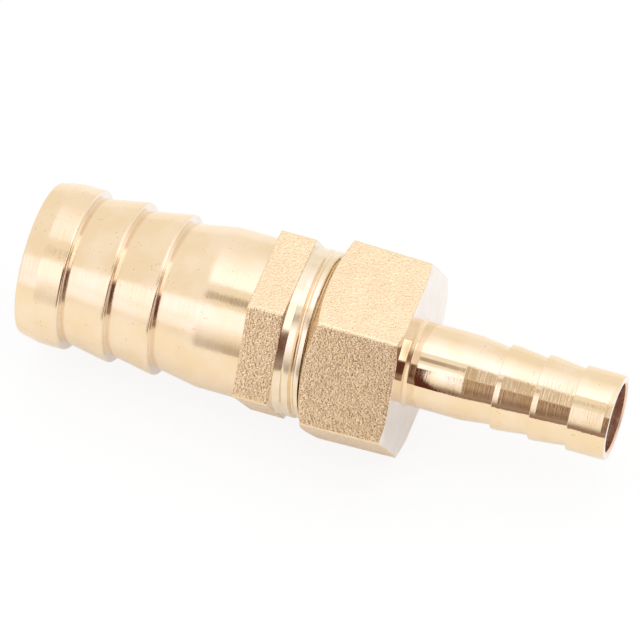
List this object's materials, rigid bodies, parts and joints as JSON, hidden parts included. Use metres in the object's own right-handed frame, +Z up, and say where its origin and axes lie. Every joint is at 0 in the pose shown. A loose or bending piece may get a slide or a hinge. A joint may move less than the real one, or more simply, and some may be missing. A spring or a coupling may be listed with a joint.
{
  "type": "hose barb reducer",
  "caption": "Straight brass hose reducer: a wide ringed hose tail screwed tight into a hexagonal socket with a narrow ringed hose tail behind it.",
  "frame": {"origin": "on the flow axis, in the plane of the large mouth", "axes": "+X along the flow axis from the large mouth to the small one, +Z up, with a flat of each hexagon facing down"},
  "size_m": [0.093, 0.0336, 0.0294],
  "materials": {
    "large_tail_brass": "turned and polished tail and thread, sandblasted forged hexagon",
    "small_tail_brass": "turned and polished tail and end face, sandblasted forged hexagon"
  },
  "bodies": {
    "root": {"large_barb_male_fitting": "large_tail_brass", "small_barb_female_fitting": "small_tail_brass"}
  },
  "joints": []
}
